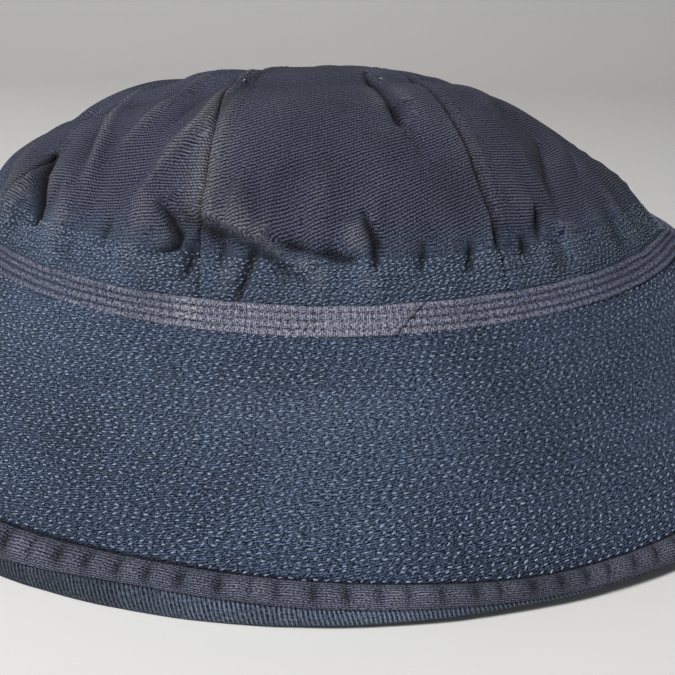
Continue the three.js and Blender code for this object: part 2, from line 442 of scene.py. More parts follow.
def drape_sheet(points):
    """A simple sheet with Blender's cloth on it, held by stitching at the crown's foot and middle."""
    columns, rows = points.shape[:2]
    mesh = bpy.data.meshes.new("drape")
    faces = grid_faces(columns, rows, loop=True)
    mesh.from_pydata([tuple(v) for v in points.reshape(-1, 3)], [], [tuple(f) for f in faces])
    obj = bpy.data.objects.new("drape", mesh)
    bpy.context.scene.collection.objects.link(obj)
    share = np.linspace(0, 1, rows)
    held = np.clip(1 - smooth(share, 0.10, 0.19) + smooth(share, 0.80, 0.95), 0, 1)
    group = obj.vertex_groups.new(name="held")
    for index, weight in enumerate(np.tile(held, columns)):
        if weight > 0:
            group.add([index], float(weight), "REPLACE")
    cloth = obj.modifiers.new("cloth", "CLOTH").settings
    cloth.quality = 5
    cloth.mass = 0.15
    cloth.tension_stiffness = 12
    cloth.compression_stiffness = 12
    cloth.shear_stiffness = 5
    cloth.bending_stiffness = 0.25
    cloth.shrink_min = -DRAPE_SLACK
    cloth.shrink_max = -DRAPE_SLACK
    cloth.use_pressure = True
    cloth.uniform_pressure_force = 0.4
    cloth.effector_weights.gravity = 0
    cloth.vertex_group_mass = "held"
    return obj


def draped(grid):
    """The crown after a cloth simulation: slack cloth, too large for its stitching, buckles into folds."""
    coarse = grid[::DRAPE_STEP, ::DRAPE_STEP]
    obj = drape_sheet(coarse)
    for number in range(1, DRAPE_FRAMES + 1):
        bpy.context.scene.frame_set(number)
    shown = obj.evaluated_get(bpy.context.evaluated_depsgraph_get())
    moved = np.zeros(coarse.size, np.float32)
    shown.data.vertices.foreach_get("co", moved)
    shift = moved.reshape(coarse.shape) - coarse
    bpy.data.objects.remove(obj)
    bpy.context.scene.frame_set(1)
    reach = np.linalg.norm(shift, axis=-1, keepdims=True)
    shift = shift * np.tanh(reach / DRAPE_CAP) * DRAPE_CAP / np.maximum(reach, 1e-9)
    place = np.arange(grid.shape[0])[:, None] / DRAPE_STEP
    level = np.arange(grid.shape[1])[None] / DRAPE_STEP
    return grid + sampled(shift, place, level, smooth)


flat_sheet = CrownSheet(crown_grid(plain_crown))
sheet = CrownSheet(draped(crown_grid(sculpted_crown)))
crown = Surface(sheet.points)
crown_up = Surface(lambda angle, length: sheet.points(angle, sheet.share_at(angle, length)), 0.5 * MM)

# ---- the brim's surface: 0 is the head line and 1 is the edge ----
brim_swell = Patch(9, 3)
BRIM_RUN = (EDGE.x - HEAD.x + EDGE.y - HEAD.y) / 2
BRIM_SLANT = math.hypot(BRIM_RUN, HEAD.z - EDGE.z)
LEAF_SHARE = 1 - BINDING_WIDTH / BRIM_SLANT
BRIM_TILT = math.atan2(HEAD.z - EDGE.z, BRIM_RUN)


def brim_points(angle, share):
    angle, share = np.broadcast_arrays(np.asarray(angle, float), np.asarray(share, float))
    dip = (head_height(angle) - HEAD.z) * np.clip(1 - share / LEAF_SHARE, 0, None)
    height = HEAD.z + (EDGE.z - HEAD.z) * share + dip
    arch = np.clip(share, 0, 1) * (1 - np.clip(share, 0, 1)) * 4
    height = height + arch * (1.1 * MM * brim_swell(angle, share) + 0.6 * MM)
    inner = head_reach(angle)
    a, b = inner + (EDGE.x - inner) * share, HEAD.y + (EDGE.y - HEAD.y) * share
    return oval(a, b, angle, height)


brim = Surface(brim_points, side=-1)
brim_below = Surface(brim_points)


# ---- meshes ----
def new_object(name, vertices, faces, material, uv=None, marks=None, wrap=None):
    """A smooth-shaded mesh. `wrap`, for quads, is the length where the cloth layer restarts from nought."""
    mesh = bpy.data.meshes.new(name)
    mesh.from_pydata([tuple(v) for v in vertices], [], [tuple(f) for f in faces])
    mesh.validate()
    if uv is not None:
        layer = mesh.uv_layers.new(name="cloth")
        loops = np.zeros(len(mesh.loops), int)
        mesh.loops.foreach_get("vertex_index", loops)
        corners = uv[loops]
        if wrap:
            quads = corners.reshape(-1, 4, 2)
            split = np.ptp(quads[..., 0], axis=1) > wrap / 2
            quads[..., 0] += wrap * (split[:, None] & (quads[..., 0] < wrap / 2))
        layer.data.foreach_set("uv", corners.astype(np.float32).ravel())
    for label, values in (marks or {}).items():
        attribute = mesh.attributes.new(label, "FLOAT", "POINT")
        attribute.data.foreach_set("value", np.clip(values, 0, 1).astype(np.float32).ravel())
    mesh.polygons.foreach_set("use_smooth", np.ones(len(mesh.polygons), bool))
    obj = bpy.data.objects.new(name, mesh)
    bpy.context.scene.collection.objects.link(obj)
    mesh.materials.append(material)
    return obj


def shell(name, outer, inner, material, uv, loop=False, marks=None):
    """A closed sheet of cloth between two matching grids of points (columns, rows, xyz)."""
    columns, rows = outer.shape[:2]
    count = columns * rows
    vertices = np.concatenate([outer.reshape(-1, 3), inner.reshape(-1, 3)])
    front = grid_faces(columns, rows, loop)
    faces = [front, front[:, ::-1] + count]
    i = np.arange(columns if loop else columns - 1)
    after = (i + 1) % columns
    rims = [(i * rows + row, after * rows + row) for row in (0, rows - 1)]
    if not loop:
        j = np.arange(rows - 1)
        rims += [(column * rows + j, column * rows + j + 1) for column in (0, columns - 1)]
    faces += [np.stack([a, b, b + count, a + count], -1) for a, b in rims]
    both = {label: np.tile(values.ravel(), 2) for label, values in (marks or {}).items()}
    wrap = uv[..., 0].max() * columns / (columns - 1) if loop else None
    uv_twice = np.tile(uv.reshape(-1, 2), (2, 1))
    obj = new_object(name, vertices, np.concatenate(faces), material, uv_twice, both, wrap)
    face_out(obj)
    return obj


def face_out(obj):
    """Turns every face of a closed mesh outwards."""
    work = bmesh.new()
    work.from_mesh(obj.data)
    bmesh.ops.recalc_face_normals(work, faces=work.faces)
    work.to_mesh(obj.data)
    work.free()


# ---- materials ----
class Nodes:
    """A material's node tree, with short ways to add and join nodes."""

    def __init__(self, name):
        self.material = bpy.data.materials.new(name)
        self.material.use_nodes = True
        self.tree = self.material.node_tree
        self.tree.nodes.clear()

    def add(self, kind, inputs=None, **settings):
        made = self.tree.nodes.new(kind)
        for key, value in settings.items():
            setattr(made, key, value)
        for key, value in (inputs or {}).items():
            if isinstance(value, bpy.types.NodeSocket):
                self.tree.links.new(value, made.inputs[key])
            else:
                made.inputs[key].default_value = value
        return made

    def math(self, operation, first, second=0.0, third=0.0):
        made = self.add("ShaderNodeMath", {0: first, 1: second, 2: third}, operation=operation)
        return made.outputs[0]

    def within(self, value):
        """The value kept between 0 and 1."""
        return self.math("MINIMUM", self.math("MAXIMUM", value, 0.0), 1.0)

    def wave(self, place, period):
        """Rises and falls between 0 and 1 once for each period."""
        phase = self.math("MULTIPLY", place, FULL / period)
        return self.math("MULTIPLY_ADD", self.math("SINE", phase), 0.5, 0.5)

    def mix(self, share, first, second):
        made = self.add("ShaderNodeMix", data_type="RGBA")
        for index, value in ((0, share), (6, first), (7, second)):
            if isinstance(value, bpy.types.NodeSocket):
                self.tree.links.new(value, made.inputs[index])
            else:
                made.inputs[index].default_value = value
        return made.outputs[2]

    def mark(self, label):
        """A value that the mesh carries at its points, such as its wear."""
        return self.add("ShaderNodeAttribute", attribute_name=label).outputs["Fac"]

    def place(self):
        return self.add("ShaderNodeTexCoord").outputs["Object"]

    def cloth_place(self):
        """The cloth layer, which holds millimetres along and across the cloth."""
        return self.add("ShaderNodeUVMap", uv_map="cloth").outputs[0]

    def shaded(self, base, level):
        return self.add("ShaderNodeHueSaturation", {"Color": base, "Value": level}).outputs[0]

    def noise(self, vector, scale, detail=2.0, roughness=0.5):
        inputs = {"Vector": vector, "Scale": scale, "Detail": detail, "Roughness": roughness}
        return self.add("ShaderNodeTexNoise", inputs).outputs["Fac"]

    def finish(self, colour, height, bump, roughness=0.95, sheen=0.03):
        surface = {"Base Color": colour, "Roughness": roughness, "Sheen Weight": sheen,
                   "Sheen Roughness": 0.6, "Specular IOR Level": 0.15}
        if height is not None:
            surface["Normal"] = self.add(
                "ShaderNodeBump", {"Height": height, "Strength": 1.0, "Distance": bump}).outputs[0]
        shader = self.add("ShaderNodeBsdfPrincipled", surface)
        self.add("ShaderNodeOutputMaterial", {"Surface": shader.outputs[0]})
        return self.material


def colour(red, green, blue):
    return (red, green, blue, 1.0)


def twill(name, dark, pale, worn, angle=8.0, period=0.8, contrast=1.0, fade=0.35, bump=0.18,
          grain=2.4, low=None):
    """Cotton twill: rope-like diagonal ribs, fading in patches, darkened by painted shade where the shade
    mark says, and paler where the mark of wear and painted highlight says.

    `low` gives the dark and pale colours where the zone mark is 1, as in the crown's stitched foot.
    """
    n = Nodes(name)
    place = n.cloth_place()
    split = n.add("ShaderNodeSeparateXYZ", {0: place})
    along, across = split.outputs[0], split.outputs[1]
    sway = n.noise(place, 0.05, 2.0)
    turn = math.radians(angle)
    slant = n.math("ADD", n.math("MULTIPLY", across, math.cos(turn)),
                   n.math("MULTIPLY", along, -math.sin(turn)))
    slant = n.math("ADD", slant, n.math("MULTIPLY", sway, 2.4))
    rib = n.wave(slant, period)
    run = n.math("ADD", along, n.math("MULTIPLY", slant, 0.8))
    yarn = n.wave(run, period * 0.9)
    weave = n.math("MULTIPLY", rib, n.math("MULTIPLY_ADD", yarn, 0.55, 0.45))
    specks = n.math("SUBTRACT", n.noise(place, 2.0, 3.0, 0.85), 0.5)
    weave = n.math("ADD", n.math("MULTIPLY_ADD", weave, contrast, 0.05), n.math("MULTIPLY", specks, grain))
    weave = n.within(weave)
    yarns = n.mix(weave, dark, pale)
    if low:
        zone = n.mark("zone")
        faint_rib = n.math("MULTIPLY_ADD", rib, 0.25, 0.25)
        flecks = n.within(n.math("ADD", n.math("MULTIPLY", specks, 5.0), faint_rib))
        yarns = n.mix(zone, yarns, n.mix(flecks, *low))
    where = n.place()
    patches = n.noise(where, 28.0, 4.0, 0.6)
    level = n.math("MULTIPLY_ADD", n.math("SUBTRACT", patches, 0.5), fade * 4, 1.0)
    # Painted shade: the colour is darkened where the mesh carries its painted shade mark.
    hollow = n.mark("hollow")
    level = n.math("MULTIPLY", level, n.math("MULTIPLY_ADD", hollow, -0.8, 1.0))
    faded_and_shaded = n.shaded(yarns, level)
    # Paler towards the worn colour where the mark says: real wear, and on the brim's front a painted
    # highlight.
    wear = n.mark("wear")
    lightened = n.math("MULTIPLY", wear, n.math("MULTIPLY_ADD", weave, 0.95, 0.05))
    return n.finish(n.mix(lightened, faded_and_shaded, worn), weave, bump * MM)


def thread(name, pale, dark, scale=900.0):
    """Cotton sewing thread, its colour changing from stitch to stitch."""
    n = Nodes(name)
    where = n.place()
    fine = n.noise(where, scale, 2.0, 0.6)
    broad = n.noise(where, 45.0, 3.0, 0.6)
    share = n.math("ADD", n.math("MULTIPLY", fine, 0.9), n.math("MULTIPLY", broad, 0.5))
    share = n.within(n.math("SUBTRACT", share, 0.25))
    # Painted shade: stitches are darkened where the mesh marks them as shaded.
    shade = n.mark("hollow")
    level = n.math("MULTIPLY_ADD", shade, -0.85, 1.0)
    shades = n.shaded(n.mix(share, dark, pale), level)
    return n.finish(shades, fine, bump=0.05 * MM, roughness=0.8, sheen=0.3)


def canvas(name):
    """Plain-weave stiffening canvas."""
    n = Nodes(name)
    place = n.cloth_place()
    split = n.add("ShaderNodeSeparateXYZ", {0: place})
    warp = n.math("SINE", n.math("MULTIPLY", split.outputs[0], FULL / 1.1))
    weft = n.math("SINE", n.math("MULTIPLY", split.outputs[1], FULL / 1.1))
    weave = n.math("MULTIPLY_ADD", n.math("MULTIPLY", warp, weft), 0.5, 0.5)
    slubs = n.noise(place, 0.9, 3.0)
    share = n.math("MULTIPLY", weave, n.math("MULTIPLY_ADD", slubs, 0.8, 0.4))
    return n.finish(n.mix(share, colour(0.13, 0.11, 0.08), colour(0.34, 0.31, 0.24)), weave, 0.1 * MM)


CROWN_CLOTH = twill("crown_twill", colour(0.002, 0.002, 0.006), colour(0.120, 0.132, 0.202),
                    colour(0.370, 0.365, 0.400), angle=20.0, period=0.82, contrast=1.1, grain=3.4,
                    low=(colour(0.002, 0.004, 0.010), colour(0.130, 0.178, 0.275)))
BRIM_CLOTH = twill("brim_twill", colour(0.002, 0.005, 0.014), colour(0.268, 0.374, 0.592),
                   colour(0.42, 0.53, 0.74), angle=-14.0, period=0.70, contrast=0.55, fade=0.35, grain=6.0)
BAND_CLOTH = twill("band_tape", colour(0.012, 0.014, 0.030), colour(0.325, 0.372, 0.570),
                   colour(0.74, 0.73, 0.84), angle=88.0, period=0.42, contrast=0.8, grain=5.4)
BINDING_CLOTH = twill("binding_twill", colour(0.004, 0.006, 0.014), colour(0.285, 0.308, 0.430),
                      colour(0.46, 0.46, 0.53), angle=2.0, period=0.80, contrast=0.8, grain=4.4)
HEM_CLOTH = twill("hem_twill", colour(0.003, 0.006, 0.014), colour(0.205, 0.260, 0.360),
                  colour(0.27, 0.33, 0.43), angle=-74.0, period=0.95, grain=3.2)
LINING_CLOTH = twill("sweatband_cloth", colour(0.014, 0.016, 0.026), colour(0.095, 0.105, 0.140),
                     colour(0.17, 0.165, 0.17), angle=30.0, period=0.7)
PALE_THREAD = thread("pale_thread", colour(0.62, 0.76, 0.98), colour(0.05, 0.08, 0.15))
CROWN_THREAD = thread("crown_thread", colour(0.48, 0.60, 0.82), colour(0.04, 0.065, 0.12))
SEAM_THREAD = thread("seam_thread", colour(0.070, 0.076, 0.115), colour(0.012, 0.013, 0.022))
# Partly painted shade: this dark thread also stands for the shade in the band's needle holes.
DARK_THREAD_AND_HOLE_SHADE = thread("dark_thread_and_hole_shade", colour(0.022, 0.024, 0.036), colour(0.005, 0.006, 0.010))
WHITE_THREAD = thread("white_thread", colour(0.75, 0.76, 0.80), colour(0.45, 0.47, 0.52))
CANVAS = canvas("interlining_canvas")


def place_piece(obj, slot, *nodes):
    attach(obj, "root")
    if nodes:
        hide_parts(*nodes)
    return obj


# ---- crown panels ----
seam_wander = [Wander(3) for _ in range(PANELS)]
SEAM_LAP = 4.6 * MM  # width of the felled seam's raised strip
SEAM_ROWS = (1.1 * MM, SEAM_LAP - 0.6 * MM)
SEAM_PITCH = 2.2 * MM
SEAM_PUCKER = 4.5 * MM
SEAM_SWAY = math.radians(1.8)
FIRST_SEAM_LEAN = math.radians(-12)
RUBBED, UNRUBBED = 0.8, 0.12  # the wear along the first seam, and along the others
CLOTH_TURNS = (0.0, -23.0, -8.0, 3.0, 12.0, -4.0, 6.0, -10.0)  # degrees that each gore's grain is turned


def seam_angle(index, share):
    """The seam's angle at a share up the crown: it sways a little, as sewn cloth does."""
    base = angle_along(FIRST_SEAM + index * HEAD_LENGTH / PANELS)
    sway = seam_wander[index % PANELS](np.asarray(share) * 4.0) * np.sin(np.asarray(share) * math.pi)
    lean = np.asarray(share) ** 1.2 * (1 - smooth(share, 0.85, 1)) * (index % PANELS == 0)
    return base + SEAM_SWAY * sway + FIRST_SEAM_LEAN * lean


def width_scale(angle, share):
    """Metres along the crown for each radian of angle."""
    step = 2e-3
    gap = crown(angle + step, share) - crown(angle - step, share)
    return np.linalg.norm(gap, axis=-1) / (2 * step)


def seam_height(distance):
    """How the felled seam lifts the cloth, by the distance past the seam line."""
    strip = smooth(distance, 0.0, 0.7 * MM) * (1 - smooth(distance, SEAM_LAP, SEAM_LAP + 0.9 * MM))
    valley = hump(distance, -0.1 * MM, 0.6 * MM)
    return 0.5 * MM * strip - 0.75 * MM * valley - 0.3 * MM * seam_rows(distance)


def seam_rows(distance):
    """1 along the seam's two rows of stitching."""
    return sum(hump(distance, row, 0.45 * MM) for row in SEAM_ROWS)


def row_height(length):
    """The stitched rows pull narrow grooves into the lower crown."""
    pitch = (ZONE_TOP - ZONE_BOTTOM) / (ZONE_ROWS - 1)
    inside = smooth(length, ZONE_BOTTOM - pitch, ZONE_BOTTOM)
    inside = inside * (1 - smooth(length, ZONE_TOP, ZONE_TOP + pitch))
    wave = 0.5 - 0.5 * np.cos((length - ZONE_BOTTOM) / pitch * FULL)
    return inside * (0.22 * MM * wave - 0.25 * MM)


def crown_panel(index):
    columns, rows = 140, 200
    u = np.linspace(0, 1, columns)[:, None]
    share = np.broadcast_to(np.linspace(0, 0.996, rows)[None], (columns, rows))
    start, end = seam_angle(index, share), seam_angle(index + 1, share)
    angle = start + u * (end - start)
    scale = width_scale(angle, share)
    past = (angle - start) * scale
    before = (angle - end) * scale
    length = sheet.length(angle, share)
    zone = 1 - smooth(length, ZONE_TOP - 1 * MM, ZONE_TOP + 9 * MM)
    lift = seam_height(past) * smooth(scale * (end - start), 6 * MM, 16 * MM) + seam_height(before)
    lift = lift * (1 - 0.5 * zone) * (1 - 0.6 * smooth(share, 0.55, 0.80)) + row_height(length)
    drawn = np.sin(length / SEAM_PUCKER * FULL + 3 * fine_noise(angle, share))
    drawn = drawn * hump(past, 1.5 * MM, 4.5 * MM)
    lift = lift + 0.15 * MM * drawn * smooth(share, 0.2, 0.3)
    outer = crown.raised(angle, share, lift)
    inner = crown.raised(angle, share, np.minimum(lift, 0) * 0.3 - CLOTH)
    middle = (start + end) / 2
    uv = np.stack([(angle - middle) * scale, flat_sheet.length(angle, share)], -1) / MM
    turn = math.radians(CLOTH_TURNS[index])
    uv = uv @ np.array([[math.cos(turn), -math.sin(turn)], [math.sin(turn), math.cos(turn)]])
    relief = sheet.relief(angle, share)
    # Painted shade: the cloth is darkened where it sinks below the cloth round it, in its folds and
    # creases.
    hollow = smooth(-relief, 0.05 * MM, 1.3 * MM)
    rub_here = RUBBED if index == 0 else UNRUBBED
    rub_next = RUBBED if index == PANELS - 1 else UNRUBBED
    seam_rub = rub_here * hump(past, 0, 5 * MM) + rub_next * hump(before, 0, 5 * MM)
    seam_rub = seam_rub * smooth(share, 0.22, 0.30) * (1 - smooth(share, 0.34, 0.56))
    seam_shade = hump(past, 0, 0.5 * MM) + hump(before, 0, 0.8 * MM) + 0.30 * seam_rows(past)
    # Painted shade: a broad darker patch above the deep hollow on the -X side.
    darkening = hump(turned(angle), -0.75, 0.30) * hump(share, 0.36, 0.18)
    seam_rub = seam_rub * (0.6 + 0.4 * soft_noise(angle, share))
    marks = {
        "wear": 0.35 * smooth(relief, 0.15 * MM, 1.4 * MM) + seam_rub,
        "hollow": hollow + seam_shade * (1 - 0.6 * zone) + 0.2 * darkening,
        "zone": zone,
    }
    obj = shell(f"crown_gore_{index + 1}", outer, inner, CROWN_CLOTH, uv, marks=marks)
    place_piece(obj, "crown_twill", f"crown_panel_{index + 1}")


for number in range(PANELS):
    crown_panel(number)


# ---- stitches ----
STITCH_FORM = np.array(
    [(-1, 0, -0.3)]
    + [(x, y, z) for x in (-0.45, 0.45) for y, z in ((-1, 0), (0, 1), (1, 0), (0, -0.6))]
    + [(1, 0, -0.3)]
)
STITCH_FACES = (
    [(0, 1 + (i + 1) % 4, 1 + i) for i in range(4)]
    + [(9, 5 + i, 5 + (i + 1) % 4) for i in range(4)]
    + [(1 + i, 1 + (i + 1) % 4, 5 + (i + 1) % 4, 5 + i) for i in range(4)]
)


def stitches(name, surface, angle, across, material, length, width=0.42 * MM, height=0.26 * MM,
             lift=0.0, tilt=10.0, spread=9.0, shade=None):
    """One small rounded thread at each (angle, across), turned a little from the row it belongs to."""
    point, round_way, cross_way, normal = surface.directions(angle, across)
    count = len(angle)
    turn = np.radians(tilt + spread * rng.standard_normal(count))[:, None]
    along = round_way * np.cos(turn) + cross_way * np.sin(turn)
    side = np.cross(normal, along)
    half = length / 2 * rng.uniform(0.75, 1.12, count)[:, None]
    wide = width / 2 * rng.uniform(0.8, 1.15, count)[:, None]
    tall = height * rng.uniform(0.75, 1.2, count)[:, None]
    base = point + normal * lift
    ways = ((along, half), (side, wide), (normal, tall))
    vertices = base[:, None] + sum(
        way[:, None] * size[:, None] * STITCH_FORM[None, :, k:k + 1] for k, (way, size) in enumerate(ways))
    start = np.arange(count)[:, None] * len(STITCH_FORM)
    faces = [corners for face in STITCH_FACES for corners in start + np.array(face)]
    marks = None if shade is None else {"hollow": np.repeat(shade, len(STITCH_FORM))}
    return new_object(name, vertices.reshape(-1, 3), faces, material, marks=marks)


def row_points(surface, across_at, rows, pitch, jitter=0.25 * MM):
    """Angles and places of the stitches of many rows round the hat; across_at gives each row's place."""
    angles, places = [], []
    for row in range(rows):
        probe = np.linspace(0, FULL, 361)
        travelled = arc_lengths(surface(probe, across_at(probe, row)))
        count = int(round(travelled[-1] / pitch))
        at = np.arange(count) + rng.uniform(0, 1) + rng.uniform(-0.12, 0.12, count)
        at = at / count * travelled[-1]
        angle = np.interp(at % travelled[-1], travelled, probe)
        angles.append(angle)
        places.append(across_at(angle, row))
    angles = np.concatenate(angles)
    places = np.concatenate(places)
    return angles, places + rng.uniform(-1, 1, len(angles)) * jitter


ROW_SWAYS = 60  # at least one for each row of the brim
row_sway = [Wander(26) for _ in range(ROW_SWAYS)]


def zone_row(angle, row):
    place = ZONE_BOTTOM + (ZONE_TOP - ZONE_BOTTOM) * row / (ZONE_ROWS - 1)
    return place + 0.3 * MM * row_sway[row](angle)


def crown_rows():
    angle, length = row_points(crown_up, zone_row, ZONE_ROWS, ZONE_PITCH, 0.32 * MM)
    relief = sheet.relief(angle, sheet.share_at(angle, length))
    shade = 0.7 * smooth(turned(angle), 0.25, 0.95) + 0.8 * smooth(-relief, 0.1 * MM, 0.8 * MM)
    obj = stitches("crown_row_stitches", crown_up, angle, length, CROWN_THREAD, length=1.05 * MM,
                   width=0.32 * MM, height=0.22 * MM, tilt=14.0, spread=16.0, shade=shade)
    place_piece(obj, "crown_twill")


def seam_stitches():
    angles, shares = [], []
    for index in range(PANELS):
        probe = np.linspace(0.14, 0.93, 400)
        for offset in SEAM_ROWS:
            angle = seam_angle(index, probe)
            angle = angle + offset / width_scale(angle, probe)
            travelled = arc_lengths(crown(angle, probe))
            at = np.arange(0, travelled[-1], SEAM_PITCH)
            angles.append(np.interp(at, travelled, angle))
            shares.append(np.interp(at, travelled, probe))
    obj = stitches("crown_seam_stitches", crown, np.concatenate(angles), np.concatenate(shares),
                   SEAM_THREAD, length=1.6 * MM, width=0.34 * MM, height=0.16 * MM, lift=0.08 * MM,
                   tilt=90.0, spread=4.0)
    place_piece(obj, "crown_twill")


crown_rows()
seam_stitches()


# ---- brim: two cloths, the canvas between them, and the rows of stitching ----
ROW_FIRST = 0.012
ROW_MARGIN = 0.014
ROW_SWAY = 0.34
UNDER_DEPTH = 2.2 * MM  # the lower cloth's upper face, below the upper cloth's
UNDER_TUCK = 2.6 * MM  # how far short of the brim's edge the lower cloth stops
ridge_noise = Patch(170, 60)


def eased_round(knots):
    """A value known at some degrees round the hat, joined up softly: gives a function of the angle."""
    degrees = np.arange(-180, 180)
    values = np.interp(degrees, *zip(*knots))
    kernel = np.hanning(17)
    soft = np.convolve(np.concatenate([values[-8:], values, values[:8]]), kernel / kernel.sum(), "valid")
    return lambda angle: np.interp(np.degrees(turned(angle)), degrees, soft, period=360)


# Round the edge, in degrees and millimetres: the binding's width, how high its fold stands over the
# ground, and how high the hem's foot does.
binding_width = eased_round((
    (-180, 6.5), (-14, 6.5), (0, 5.0), (11, 3.6), (19, 2.2), (30, 2.8), (60, 6.0), (180, 6.5)))
fold_height = eased_round((
    (-180, 4.5), (-40, 4.6), (-25, 5.6), (-14, 8.2), (0, 6.1), (11, 5.1), (20, 4.1), (30, 3.4), (60, 3.0),
    (180, 4.5)))
hem_foot = eased_round((
    (-180, 0), (-14, 0), (0, 0.7), (11, 1.9), (20, 2.6), (32, 3.1), (60, 2.0), (100, 0), (180, 0)))


def leaf_share(angle):
    """Where the brim's open cloth ends and its binding starts."""
    return 1 - binding_width(angle) * MM / BRIM_SLANT


def rows_apart(angle):
    return (leaf_share(angle) - ROW_MARGIN - ROW_FIRST) / (BRIM_ROWS - 1)


def brim_row(angle, row):
    return ROW_FIRST + rows_apart(angle) * (row + ROW_SWAY * row_sway[row](angle))


def quilted_part(angle, share):
    """1 where the brim is stitched in rows, and 0 at its two edges."""
    short = share - leaf_share(angle)
    return smooth(share, 0, 0.02) * (1 - smooth(short, -ROW_MARGIN, 0.01 - ROW_MARGIN))


def between_rows(angle, share):
    """0 along each stitched row and 1 midway between two, following the rows' sway."""
    place = (share - ROW_FIRST) / rows_apart(angle)
    below = np.clip(np.floor(place), 0, BRIM_ROWS - 1).astype(int)
    over = np.clip(below + 1, 0, BRIM_ROWS - 1)
    sways = np.stack([sway(angle[..., 0]) for sway in row_sway[:BRIM_ROWS]], -1) * ROW_SWAY
    low = np.take_along_axis(sways, below, -1)
    high = np.take_along_axis(sways, over, -1)
    placed = place - (low + (high - low) * np.clip(place - below, 0, 1))
    return 0.5 - 0.5 * np.cos(placed * FULL)


def quilting(angle, share):
    """The cloth rises between the stitched rows and is drawn down along them."""
    height = 0.26 * MM * between_rows(angle, share) + 0.10 * MM * ridge_noise(angle, share)
    return quilted_part(angle, share) * height


def whole_round(columns, low, high, rows):
    """Angles all round the hat, and places from low to high across the cloth, as two matching grids."""
    angle = np.linspace(0, FULL, columns, endpoint=False)[:, None]
    return np.broadcast_arrays(angle, np.linspace(low, high, rows)[None])


def layer(surface, angle, across, over, under):
    """Two grids of points over and under a surface, and the cloth layer's place on the first."""
    upper, lower = surface.raised(angle, across, over), surface.raised(angle, across, under)
    return upper, lower, np.stack([arc_lengths(upper, 0), arc_lengths(upper, 1)], -1) / MM


def brim_cloth(name, node, side, depth):
    """One half of a brim cloth, at a depth below the brim's face; the lower cloth bulges downwards."""
    columns, rows = 520, 230
    margin = 0.15 * MM / HEAD.y
    start, end = side * math.pi - math.pi / 2 + margin, side * math.pi + math.pi / 2 - margin
    angle = np.broadcast_to(np.linspace(start, end, columns)[:, None], (columns, rows))
    tucked = UNDER_TUCK if depth else 0.6 * binding_width(angle) * MM * math.cos(BRIM_TILT)
    share = 0.004 + (0.996 - tucked / BRIM_RUN) * np.linspace(0, 1, rows)[None]
    relief = quilting(angle, share)
    over, under = (-depth, -depth - CLOTH - relief) if depth else (relief, -CLOTH)
    upper, lower, uv = layer(brim, angle, share, over, under)
    # Painted highlight: the brim's cloth is made paler across its front middle.
    lightened = hump(turned(angle), -0.05, 0.30) * hump(share, 0.40, 0.28)
    # Painted shade along the stitched rows, and a painted shadow line just inside the binding.
    grooves = (1 - between_rows(angle, share)) * quilted_part(angle, share)
    marks = {
        "wear": 0.25 * smooth(brim_swell(angle, share), 0.2, 1.0) + 0.15 * lightened,
        "hollow": smooth(share - leaf_share(angle), -0.016, -0.006) + 0.45 * grooves,
    }
    place_piece(shell(name, upper, lower, BRIM_CLOTH, uv, marks=marks), "brim_twill", node)


for side, name in enumerate(("near", "far")):
    brim_cloth(f"brim_upper_{name}", f"brim_top_{name}", side, 0.0)
    brim_cloth(f"brim_lower_{name}", f"brim_under_{name}", side, UNDER_DEPTH)


def brim_canvas():
    angle, share = whole_round(240, 0.006, 1 - 2.8 * MM / BRIM_RUN, 24)
    upper, lower, uv = layer(brim, angle, share, -1.1 * MM, -1.8 * MM)
    obj = shell("brim_canvas", upper, lower, CANVAS, uv, loop=True)
    place_piece(obj, "interlining_canvas", "brim_interlining")


def brim_stitching():
    jitter = rows_apart(0.0) * 0.13
    upper = {"length": 1.4 * MM, "width": 0.36 * MM, "lift": 0.02 * MM, "tilt": -17.0, "spread": 15.0}
    under = {"length": 1.5 * MM, "lift": 2.95 * MM}
    for name, surface, look in (("row", brim, upper), ("under", brim_below, under)):
        angle, share = row_points(brim, brim_row, BRIM_ROWS, STITCH_PITCH, jitter)
        obj = stitches(f"brim_{name}_stitches", surface, angle, share, PALE_THREAD, **look)
        place_piece(obj, "brim_twill")


brim_canvas()
brim_stitching()


# ---- the hat band ----
def band_point(angle, up, out):
    """A point of the tape, which lies against the crown's foot: so far up it and so far out from it."""
    low = np.clip(up, 0.3 * MM, None)
    point, _, way_up, normal = crown_up.directions(angle, low)
    return point + normal * np.asarray(out)[..., None] + way_up * np.asarray(up - low)[..., None]


tape_wave = Wander(14)
tape_fine = Wander(90)
TAPE_ROWS = 4
TAPE_PITCH = 2.1 * MM  # from one stitch to the next
TAPE_FACE = 0.95 * MM
TAPE_THICK = 0.4 * MM
TAPE_LOW = -1.6 * MM  # its lower edge hangs a little below the joint
TAPE_WIDTH = 6.7 * MM


def tape_relief(up):
    """Rounded cords between the tape's stitched rows."""
    pitch = TAPE_WIDTH / TAPE_ROWS
    return 0.6 * MM * np.abs(np.sin((up - TAPE_LOW) / pitch * math.pi)) ** 0.7


def tape_out(up):
    """The tape's lower edge turns out a little, over the joint with the brim."""
    return TAPE_FACE + 1.9 * MM * (1 - smooth(up, TAPE_LOW - 1.2 * MM, 2.2 * MM))


